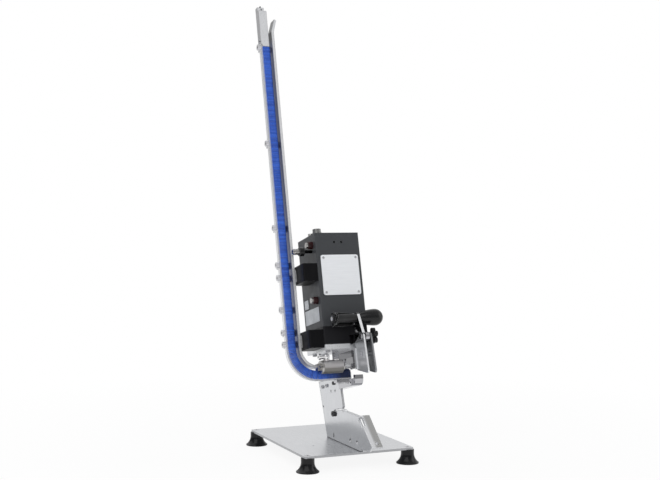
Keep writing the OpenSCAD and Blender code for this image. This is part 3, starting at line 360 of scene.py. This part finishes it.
# Nameplate and label plates: bare brushed aluminium sheet, cut with round corners.
# The nameplate is screwed to the body's front, and two thin plates are riveted to its left side.
plate_light = (0.92, 0.94, 0.97, 1)
plate_dark = (0.84, 0.86, 0.89, 1)
plate_brush = (0.02, 1, 1)
label_light = (0.56, 0.58, 0.61, 1)
label_dark = (0.46, 0.48, 0.51, 1)
label_brush = (1, 0.05, 0.05)
lean = math.radians(13.6)
lean_back = Matrix.Rotation(-lean, 3, "X")
body_edge_mm = Vector((0, -134, 222.3))
leftward = Vector((-1, 0, 0))
label_face_mm = -66.5
label_thick_mm = 0.6
label_sink_mm = 0.05
label_corner_mm = 1.6
label_corner_steps = 5
label_edge_mm = 0.2
label_spans_mm = ((12.0, 43.0, 76.0, 69.0), (57.0, 72.0, 75.0, 88.0))
rivet_inset_mm = 3.0
rivet_radius_mm = 1.2
rivet_height_mm = 0.5
rivet_rises = (0, 30, 55, 75)
rivet_sides = 12


def leaning(x, y, z):
    """A point of the leaning machine, in millimetres, placed in the row frame."""
    return (lean_back @ Vector((x, y, z)) + body_edge_mm) / 1000


def skin_rings(work, rings, closed=False):
    """Joins rings of points by bands, and either closes the band on itself or caps both ends."""
    loops = [[work.verts.new(point) for point in ring] for ring in rings]
    for near, far in zip(loops, loops[1:] + loops[:1] if closed else loops[1:]):
        for side in range(len(near)):
            other = (side + 1) % len(near)
            work.faces.new((near[side], near[other], far[other], far[side]))
    if not closed:
        work.faces.new(list(reversed(loops[0])))
        work.faces.new(loops[-1])


def turned_rings(place, out, steps, sides=24):
    """Rings round an axis, in metres, from steps of (radius, height, hexagon or not) in millimetres."""
    out = out.normalized()
    first = out.orthogonal().normalized()
    second = out.cross(first)
    rings = []
    for radius, height, hexagon in steps:
        ring = []
        for side in range(sides):
            turn = 2 * math.pi * side / sides
            reach = radius
            if hexagon:
                reach *= math.cos(math.pi / 6) / math.cos(turn % (math.pi / 3) - math.pi / 6)
            way = first * math.cos(turn) + second * math.sin(turn)
            ring.append(place + (way * reach + out * height) / 1000)
        rings.append(ring)
    return rings


def keep_mesh(work, name, finish, smooth=True):
    """Turns the worked mesh into a piece with its finish."""
    bmesh.ops.recalc_face_normals(work, faces=work.faces)
    mesh = bpy.data.meshes.new(name)
    work.to_mesh(mesh)
    work.free()
    mesh.materials.append(finish)
    for face in mesh.polygons:
        face.use_smooth = smooth
    piece = bpy.data.objects.new(name, mesh)
    bpy.context.scene.collection.objects.link(piece)
    return piece


def label_outline(span, inset):
    """Round-cornered outline of a label plate, as places along and up the body's side."""
    low_y, low_z, high_y, high_z = span
    radius = label_corner_mm - inset
    outline = []
    corners = ((high_y, high_z, 0), (low_y, high_z, 90), (low_y, low_z, 180), (high_y, low_z, 270))
    for corner_y, corner_z, start in corners:
        centre_y = corner_y + (label_corner_mm if corner_y == low_y else -label_corner_mm)
        centre_z = corner_z + (label_corner_mm if corner_z == low_z else -label_corner_mm)
        for step in range(label_corner_steps + 1):
            turn = math.radians(start + 90 * step / label_corner_steps)
            outline.append((centre_y + radius * math.cos(turn), centre_z + radius * math.sin(turn)))
    return outline


def rivet_dome():
    """A rivet head's steps, from the label's face to its flat top."""
    dome = []
    for rise in rivet_rises:
        turn = math.radians(rise)
        height = label_thick_mm + rivet_height_mm * math.sin(turn)
        dome.append((rivet_radius_mm * math.cos(turn), height, False))
    return dome


def rivet_label(work, span):
    """One thin plate with eased edges and a rivet near each corner."""
    rings = []
    steps = ((0, -label_sink_mm), (0, label_thick_mm - label_edge_mm), (label_edge_mm, label_thick_mm))
    for inset, rise in steps:
        rings.append([leaning(label_face_mm - rise, y, z) for y, z in label_outline(span, inset)])
    skin_rings(work, rings)
    low_y, low_z, high_y, high_z = span
    for y in (low_y + rivet_inset_mm, high_y - rivet_inset_mm):
        for z in (low_z + rivet_inset_mm, high_z - rivet_inset_mm):
            place = leaning(label_face_mm, y, z)
            skin_rings(work, turned_rings(place, leftward, rivet_dome(), rivet_sides))


plate_metal = brushed_metal("plate_aluminium", plate_light, plate_dark, plate_brush, lines_per_metre=1500,
                            rough=(0.34, 0.5), bare=0.35)
label_metal = brushed_metal("label_aluminium", label_light, label_dark, label_brush, lines_per_metre=1500,
                            rough=(0.34, 0.5), bare=0.5)
dress(plate_metal, "nameplate")
work = bmesh.new()
for span in label_spans_mm:
    rivet_label(work, span)
labels = keep_mesh(work, "side_labels", label_metal, smooth=False)
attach(labels, "machine")


# Small socket screws: the nameplate's pan heads, the lid's and the feet's sunk heads.
# They are turned from steel with a hexagon socket, and stand in the holes of the plates that they hold.
front = lean_back @ Vector((0, -1, 0))
upright = lean_back @ Vector((0, 0, 1))
pan_steps = ((1.2, -4.5, False), (1.2, 0.0, False), (2.2, 0.0, False), (2.2, 0.6, False),
             (1.95, 1.0, False), (1.5, 1.2, False), (1.15, 1.2, True), (1.1, 0.4, True))
lid_steps = ((2.0, -16.0, False), (2.0, -3.0, False), (3.9, -0.15, False), (3.75, 0.0, False),
             (1.9, 0.0, True), (1.8, -0.2, True), (1.8, -2.0, True))
foot_steps = ((3.0, -13.5, False), (3.0, -3.0, False), (5.7, -0.15, False), (5.55, 0.0, False),
              (2.4, 0.0, True), (2.3, -0.2, True), (2.3, -2.6, True))
plate_face_mm = -1.2
plate_screw_x_mm = (-54.6, 7.8)
plate_screw_z_mm = (92.0, 154.4)
lid_face_mm = 200.0
lid_screw_x_mm = (-59.5, 11.5)
lid_screw_y_mm = (7.0, 77.0)
foot_head_radius = 0.0058


def screw_set(name, finish, places, out, steps, node):
    """A set of like screws that stands for a CAD node."""
    work = bmesh.new()
    for place in places:
        skin_rings(work, turned_rings(place, out, steps))
    piece = keep_mesh(work, name, finish, smooth=False)
    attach(piece, "machine")
    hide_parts(node)


low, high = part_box("foot_screws")
foot_screw_x = (low.x + foot_head_radius, high.x - foot_head_radius)
foot_screw_y = (low.y + foot_head_radius, high.y - foot_head_radius)
plate_places = [leaning(x, plate_face_mm, z) for x in plate_screw_x_mm for z in plate_screw_z_mm]
lid_places = [leaning(x, y, lid_face_mm) for x in lid_screw_x_mm for y in lid_screw_y_mm]
foot_places = [Vector((x, y, high.z)) for x in foot_screw_x for y in foot_screw_y]
screw_set("plate_screws", zinc, plate_places, front, pan_steps, "nameplate_screws")
screw_set("sunk_lid_screws", black_steel, lid_places, upright, lid_steps, "lid_screws")
screw_set("sunk_foot_screws", zinc, foot_places, Vector(facing_up), foot_steps, "foot_screws")


# Rail and follower: drawn aluminium bars with a satin skin and edges painted darker as a painted reflection,
# tied across the back. The inner bar's left faces are painted dark as painted shade, and bluish below its
# flare as a painted reflection of the clips; the follower's left face is painted greyer as painted shade.
# Flange plate and spacers are cut from the same stock.
satin_light = (0.84, 0.85, 0.87, 1)
satin_dark = (0.74, 0.75, 0.77, 1)
clip_reflection_blue = (0.13, 0.15, 0.26, 1)
bar_edge_shade = (0.24, 0.245, 0.26, 1)
edge_width = 0.0018
left_face_shade = (0.11, 0.11, 0.115, 1)
flare_start, flare_end = 0.762, 0.776
follower_side_shade = (0.42, 0.425, 0.44, 1)
drawn_along = (1, 1, 0.03)


def bar_shade_edges(tree):
    """The bar's sharp edges, where a darker painted reflection goes."""
    return sharp_edges(tree, edge_width)


def satin_bar(name):
    """Drawn bar with fine lines along its length and edges painted darker as a painted reflection."""
    bar = brushed_metal(name, satin_light, satin_dark, drawn_along, lines_per_metre=1100, rough=(0.26, 0.36),
                        bare=0.5, depth=0.00001)
    # Painted reflection: the bar's edges are painted darker.
    return paint_over(bar, bar_shade_edges, bar_edge_shade)


left_face = turned_to(tuple(leftward), start=0.4, end=0.8)
blue_reflection_face = both(left_face, along("Z", flare_end, flare_start))
# Painted shade on the inner bar's left faces, and a painted blue reflection of the clips on them below the
# flare.
inner_bar = paint_over(satin_bar("shaded_bar"), left_face, left_face_shade)
dress(satin_bar("satin_bar"), "outer_rail", "rail_ties", "rail_spacers", "flange_plate")
dress(paint_over(inner_bar, blue_reflection_face, clip_reflection_blue), "inner_rail")
# Painted shade on the follower's left face.
dress(paint_over(satin_bar("follower_bar"), left_face, follower_side_shade), "follower_weight")


# Clips: U-shaped blue wire clips, side by side on the rail's tongue, legs to the outside.
# Each is bent from coated wire, and they fan out round the bend. Towards the jaw they are painted dark as
# painted shadow.
bend_centre_mm = (-65.7, -2.0)
clip_crown_mm = 38.8
clip_legs_mm = 54.8
clip_half_width_mm = 7.5
clip_middle_mm = 44.0
clip_wire_mm = 2.6
clip_wire_sides = 8
clip_corner_mm = 5.0
clip_corner_steps = 4
clip_pitch_mm = 2.3
clip_thick_mm = clip_pitch_mm * 0.46
clip_nudge_mm = 0.12
clip_nudge_step = 2.4
stack_top_mm = 562.0
run_end_mm = -4.0
clip_blue = (0.058, 0.176, 0.72, 1)
clip_deep = (0.039, 0.108, 0.50, 1)
clip_end_shadow = (0.008, 0.019, 0.070, 1)
shadow_start, shadow_end = -0.062, -0.024


def clip_line():
    """The bent wire's middle line: distance from the bend's centre, and place across the rail."""
    half = clip_half_width_mm - clip_wire_mm / 2
    crown = clip_crown_mm + clip_wire_mm / 2
    corner = clip_corner_mm
    line = [(clip_legs_mm, -half), (crown + corner, -half)]
    for step in range(1, clip_corner_steps + 1):
        turn = math.radians(90 * step / clip_corner_steps)
        line.append((crown + corner - corner * math.sin(turn), -half + corner - corner * math.cos(turn)))
    return line + [(r, -v) for r, v in reversed(line)]


def clip_stations():
    """Each clip's place along the rail as (origin x, origin z, direction angle)."""
    centre_x, centre_z = bend_centre_mm
    places = []
    height = stack_top_mm - clip_pitch_mm / 2
    while height > centre_z:
        places.append((centre_x, height, math.pi))
        height -= clip_pitch_mm
    turn = math.pi
    step = clip_pitch_mm / (clip_crown_mm + clip_wire_mm)
    while turn < 1.5 * math.pi:
        places.append((centre_x, centre_z, turn))
        turn += step
    level = centre_x + clip_pitch_mm / 2
    while level < run_end_mm - clip_pitch_mm / 2:
        places.append((level, centre_z, 1.5 * math.pi))
        level += clip_pitch_mm
    return places


def bend_clip(work, origin_x, origin_z, turn, nudge):
    """One clip of flattened round wire, swept along its middle line."""
    line = clip_line()
    out = Vector((math.cos(turn), 0, math.sin(turn)))
    stack = Vector((-math.sin(turn), 0, math.cos(turn)))
    rings = []
    for index, (r, v) in enumerate(line):
        before = Vector(line[max(index - 1, 0)])
        after = Vector(line[min(index + 1, len(line) - 1)])
        forward = (after - before).normalized()
        across = Vector((-forward.y, forward.x))
        ring = []
        for side in range(clip_wire_sides):
            angle = 2 * math.pi * (side + 0.5) / clip_wire_sides
            wide = math.cos(angle) * clip_wire_mm / 2
            spot_r = r + across.x * wide
            spot_v = v + across.y * wide + nudge
            point = Vector((origin_x, clip_middle_mm + spot_v, origin_z)) + out * spot_r
            point += stack * math.sin(angle) * clip_thick_mm
            ring.append(leaning(*point))
        rings.append(ring)
    skin_rings(work, rings)


coat, tree, shader = start_finish("clip_coat", metallic=0.0, roughness=0.32, shine=0.3)
each_clip = tree.nodes.new("ShaderNodeNewGeometry").outputs["Random Per Island"]
gloss = between(tree, grain(tree, per_metre=300, detail=3), 0.26, 0.40)
tree.links.new(tint(tree, each_clip, clip_deep, clip_blue), shader.inputs["Base Color"])
tree.links.new(gloss, shader.inputs["Roughness"])
relief(tree, shader, grain(tree, per_metre=900, detail=2), depth=0.00003, edge_radius=0.0003)
shader.inputs["Coat Weight"].default_value = 0.1
# Painted shadow: the clips towards the jaw are painted dark.
paint_over(coat, along("X", shadow_start, shadow_end), clip_end_shadow)
work = bmesh.new()
for number, (origin_x, origin_z, turn) in enumerate(clip_stations()):
    bend_clip(work, origin_x, origin_z, turn, clip_nudge_mm * math.sin(number * clip_nudge_step))
clips = keep_mesh(work, "blue_clips", coat)
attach(clips, "machine")
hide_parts("clip_stack")


# Air fittings and buttons: nickel-plated brass, turned on a lathe, with a brighter elbow and a sintered
# silencer. The inlet's stem is blackened towards the body and carries a grooved ring, and the button
# collars are dark red plastic.
nickel_light = (0.56, 0.55, 0.54, 1)
nickel_dark = (0.38, 0.37, 0.36, 1)
chrome_light = (0.90, 0.90, 0.91, 1)
chrome_dark = (0.74, 0.74, 0.75, 1)
sinter_light = (0.30, 0.30, 0.295, 1)
sinter_dark = (0.17, 0.17, 0.168, 1)
stem_black = (0.008, 0.008, 0.009, 1)
stem_start, stem_end = -0.0910, -0.0900
collar_red = (0.040, 0.008, 0.009, 1)
collar_deep = (0.014, 0.005, 0.006, 1)
ring_place_mm = (-90.5, 22.0, 170.0)
ring_sides = 32
ring_steps = ((3.1, 2.3, False), (5.2, 2.3, False), (5.6, 2.8, False), (5.6, 5.2, False),
              (4.4, 5.6, False), (4.4, 7.2, False), (5.6, 7.6, False), (5.6, 10.0, False),
              (5.0, 10.6, False), (3.1, 10.6, False))


def nickel_plate(name):
    """Turned and plated brass."""
    return brushed_metal(name, nickel_light, nickel_dark, every_way, lines_per_metre=500, rough=(0.18, 0.30))


def moulded_plastic(name, colour, second, rough, edge_radius):
    """Moulded plastic with a fine spark-eroded grain."""
    rough_low, rough_high = rough
    finish, tree, shader = start_finish(name, 0.0, rough_low, shine=0.32)
    shades = between(tree, grain(tree, per_metre=45, detail=3), 0, 1)
    gloss = between(tree, grain(tree, per_metre=240, detail=4), rough_low, rough_high)
    tree.links.new(tint(tree, shades, colour, second), shader.inputs["Base Color"])
    tree.links.new(gloss, shader.inputs["Roughness"])
    relief(tree, shader, grain(tree, per_metre=2200, detail=1), depth=0.00004, edge_radius=edge_radius)
    return finish


bright_chrome = brushed_metal("bright_chrome", chrome_light, chrome_dark, every_way, lines_per_metre=500,
                              rough=(0.10, 0.18))
sintered_metal = brushed_metal("sintered_metal", sinter_light, sinter_dark, every_way, lines_per_metre=1300,
                               rough=(0.34, 0.5))
inlet_nickel = paint_over(nickel_plate("inlet_nickel"), along("X", stem_start, stem_end), stem_black)
collar_plastic = moulded_plastic("collar_plastic", collar_red, collar_deep, rough=(0.28, 0.38),
                                 edge_radius=0.0008)
dress(nickel_plate("nickel_plate"), "top_plug", "upper_button", "lower_button", "feed_rod", "feed_end_cap")
dress(bright_chrome, "feed_elbow")
dress(sintered_metal, "top_silencer")
dress(inlet_nickel, "air_inlet")
dress(collar_plastic, "upper_button_collar", "lower_button_collar")
work = bmesh.new()
skin_rings(work, turned_rings(leaning(*ring_place_mm), leftward, ring_steps, ring_sides), closed=True)
inlet_ring = keep_mesh(work, "inlet_ring", nickel_plate("ring_nickel"), smooth=False)
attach(inlet_ring, "machine")


# Hand lever: two bent stainless cheeks on the pivot, with an arm up to the handle.
# The bridge and ear that hold the handle's bolt are painted black as painted shade, with painted highlights
# along their edges. The arm's front edge has a painted highlight, and the far cheek is a darker copy of the
# steel as painted shade, with a painted highlight on its front edges.
lever_light = (0.44, 0.45, 0.47, 1)
lever_dark = (0.39, 0.40, 0.42, 1)
arm_edge_highlight = (0.90, 0.91, 0.93, 1)
far_cheek_shade_light = (0.24, 0.25, 0.26, 1)
far_cheek_shade_dark = (0.17, 0.175, 0.185, 1)
cheek_edge_highlight = (0.34, 0.345, 0.36, 1)
shade_black = (0.006, 0.006, 0.007, 1)
shade_edge_highlight = (0.30, 0.305, 0.31, 1)
shade_edge_width = 0.0010
shade_low, shade_high = 0.2445, 0.2455
arm_left, arm_full = -0.0156, -0.0146
pivot_grey = (0.15, 0.155, 0.165, 1)
pivot_low, pivot_high = 0.208, 0.242


def shade_band_edges(tree):
    """The black band's sharp edges, where a painted highlight goes."""
    return sharp_edges(tree, shade_edge_width)


shade_band = along("Z", shade_low, shade_high)
cut_edge = turned_to(facing_front, start=0.5, end=0.8)
lever_steel = brushed_metal("lever_stainless", lever_light, lever_dark, brush_upright, lines_per_metre=1000,
                            rough=(0.18, 0.26), bare=0.5, depth=ground_depth)
far_cheek_shaded_steel = brushed_metal("far_cheek_shaded_stainless", far_cheek_shade_light, far_cheek_shade_dark, brush_upright, lines_per_metre=1000,
                            rough=(0.22, 0.34), bare=0.6, depth=ground_depth)
paint_over(lever_steel, along("Z", pivot_low, pivot_high), pivot_grey)
# Painted shade: the bridge and ear above the cheeks are painted black, with painted highlights along their
# edges.
paint_over(lever_steel, shade_band, shade_black)
paint_over(lever_steel, both(shade_band, shade_band_edges), shade_edge_highlight)
# Painted highlight on the arm's front edge.
dress(paint_over(lever_steel, both(cut_edge, along("X", arm_left, arm_full)), arm_edge_highlight), "hand_lever")
# The far cheek is a darker copy of the steel as painted shade, with a painted highlight on its front edges.
dress(paint_over(far_cheek_shaded_steel, cut_edge, cheek_edge_highlight), "right_cheek")


# Hand parts: grip, sleeve, star knob and inlet collar of black plastic.
# The grip turns on its bolt, and its skin is rubbed smooth by hands.
plastic_black = (0.005, 0.005, 0.006, 1)
plastic_worn = (0.010, 0.010, 0.011, 1)
sleeve_black = (0.016, 0.016, 0.017, 1)
sleeve_worn = (0.026, 0.026, 0.027, 1)
hand_edge_radius = 0.001
hand_plastic = moulded_plastic("hand_plastic", plastic_black, plastic_worn, (0.20, 0.30), hand_edge_radius)
sleeve_plastic = moulded_plastic("sleeve_plastic", sleeve_black, sleeve_worn, (0.28, 0.38), hand_edge_radius)
dress(hand_plastic, "grip", "star_knob", "inlet_collar")
dress(sleeve_plastic, "handle_sleeve")


# Feed cylinder: a small air cylinder that pushes the clips along the level run.
# Its barrel is turned aluminium, anodised warm grey with painted shade on top and below, and hangs on the
# feed post.
barrel_light = (0.86, 0.835, 0.835, 1)
barrel_dark = (0.70, 0.68, 0.68, 1)
barrel_top_shade = (0.42, 0.41, 0.41, 1)
barrel_under_shade = (0.19, 0.185, 0.175, 1)
barrel_brush = (1, 0.05, 1)
facing_down = (0, 0, -1)
barrel = brushed_metal("barrel_anodised", barrel_light, barrel_dark, barrel_brush, lines_per_metre=900,
                       rough=(0.30, 0.44))
# Painted shade on the barrel's top and underside.
paint_over(barrel, turned_to(facing_up, start=0.55, end=0.90), barrel_top_shade)
paint_over(barrel, turned_to(facing_down, start=-0.20, end=0.08), barrel_under_shade)
dress(barrel, "feed_cylinder")


# Studio: a pale floor that runs out of sight, white air round it and soft lamps.
# The floor glows to the camera, more with distance, so that it is white but still takes the shadow;
# mirrors see the air darker in front and below, as behind a camera in a real studio.
floor_reach = 30.0
floor_corners = ((-1, -1), (1, -1), (1, 1), (-1, 1))
floor_white = (0.93, 0.93, 0.93, 1)
pure_white = (1, 1, 1, 1)
glow_near, glow_far = 0.88, 1.0
glow_start, glow_end = 0.35, 1.1
room_strength = 0.55
body_middle = (0, -0.05, 0.35)
body_low = (0, 0, 0.3)
camera_place = (-0.8721, -2.0220, 0.4554)
camera_down, camera_roll, camera_aside = 1.41, -0.07, -23.35
lens_mm, sensor_mm = 64.21, 36.0


def highest(tree, first, second):
    """The greater of two factors."""
    greater = tree.nodes.new("ShaderNodeMath")
    greater.operation = "MAXIMUM"
    tree.links.new(first, greater.inputs[0])
    tree.links.new(second, greater.inputs[1])
    return greater.outputs["Value"]


def blend_shaders(tree, factor, first, second):
    """One shader turning into another by the factor."""
    blend = tree.nodes.new("ShaderNodeMixShader")
    tree.links.new(factor, blend.inputs["Fac"])
    tree.links.new(first, blend.inputs[1])
    tree.links.new(second, blend.inputs[2])
    return blend.outputs["Shader"]


def soft_lamp(name, place, target, width, height, watts):
    """A large soft box that looks at a point of the object."""
    lamp = bpy.data.lights.new(name, "AREA")
    lamp.shape = "RECTANGLE"
    lamp.size = width
    lamp.size_y = height
    lamp.energy = watts
    stand = bpy.data.objects.new(name, lamp)
    bpy.context.scene.collection.objects.link(stand)
    stand.location = place
    stand.rotation_euler = (Vector(target) - Vector(place)).to_track_quat("-Z", "Y").to_euler()


work = bmesh.new()
work.faces.new([work.verts.new((x * floor_reach, y * floor_reach, 0)) for x, y in floor_corners])
paper, tree, shader = start_finish("floor_paper", metallic=0.0, roughness=0.9, shine=0.1)
shader.inputs["Base Color"].default_value = floor_white
path = tree.nodes.new("ShaderNodeLightPath").outputs
looked_at = highest(tree, path["Is Camera Ray"], path["Is Glossy Ray"])
seen = highest(tree, looked_at, path["Is Transmission Ray"])
away = tree.nodes.new("ShaderNodeVectorMath")
away.operation = "LENGTH"
tree.links.new(tree.nodes.new("ShaderNodeTexCoord").outputs["Object"], away.inputs[0])
distance_glow = between(tree, away.outputs["Value"], glow_near, glow_far, glow_start, glow_end)
glow = tree.nodes.new("ShaderNodeEmission")
glow.inputs["Color"].default_value = pure_white
glowing = join_factors(tree, seen, distance_glow)
lit_paper = blend_shaders(tree, glowing, shader.outputs["BSDF"], glow.outputs["Emission"])
tree.links.new(lit_paper, tree.nodes["Material Output"].inputs["Surface"])
floor = keep_mesh(work, "studio_floor", paper, smooth=False)

air = bpy.data.worlds.new("studio_air")
bpy.context.scene.world = air
air.use_nodes = True
tree = air.node_tree
room = tree.nodes["Background"]
mirrored = tree.nodes.new("ShaderNodeBackground")
white = tree.nodes.new("ShaderNodeBackground")
for part in (room, mirrored, white):
    part.inputs["Color"].default_value = pure_white
room.inputs["Strength"].default_value = room_strength
way = tree.nodes.new("ShaderNodeSeparateXYZ")
tree.links.new(tree.nodes.new("ShaderNodeTexCoord").outputs["Generated"], way.inputs["Vector"])
behind = between(tree, way.outputs["Y"], low=0.40, high=1.0, start=-0.9, end=0.5)
above = between(tree, way.outputs["Z"], low=0.62, high=1.0, start=-0.1, end=0.45)
beside = between(tree, way.outputs["X"], low=0.36, high=1.0, start=-0.6, end=0.1)
overhead = between(tree, way.outputs["Z"], low=1.0, high=0.85, start=0.5, end=0.9)
lower_dim = join_factors(tree, behind, above)
upper_dim = join_factors(tree, beside, overhead)
tree.links.new(join_factors(tree, lower_dim, upper_dim), mirrored.inputs["Strength"])
path = tree.nodes.new("ShaderNodeLightPath").outputs
clear = highest(tree, path["Is Camera Ray"], path["Is Transmission Ray"])
room_air = blend_shaders(tree, path["Is Glossy Ray"], room.outputs["Background"],
                         mirrored.outputs["Background"])
whole_air = blend_shaders(tree, clear, room_air, white.outputs["Background"])
tree.links.new(whole_air, tree.nodes["World Output"].inputs["Surface"])

soft_lamp("key_box", place=(-1.6, -1.8, 2.2), target=body_middle, width=3.0, height=3.0, watts=36)
soft_lamp("top_box", place=(-1.4, 1.5, 2.7), target=body_low, width=3.6, height=3.6, watts=30)
soft_lamp("right_box", place=(2.2, -1.2, 1.2), target=body_middle, width=1.6, height=2.4, watts=12)

lens = bpy.data.cameras.new("photo_camera")
lens.lens = lens_mm
lens.sensor_width = sensor_mm
camera = bpy.data.objects.new("photo_camera", lens)
bpy.context.scene.collection.objects.link(camera)
camera.location = camera_place
camera.rotation_euler = [math.radians(turn) for turn in (90 - camera_down, camera_roll, camera_aside)]
bpy.context.scene.camera = camera
bpy.context.scene.view_settings.view_transform = "Standard"
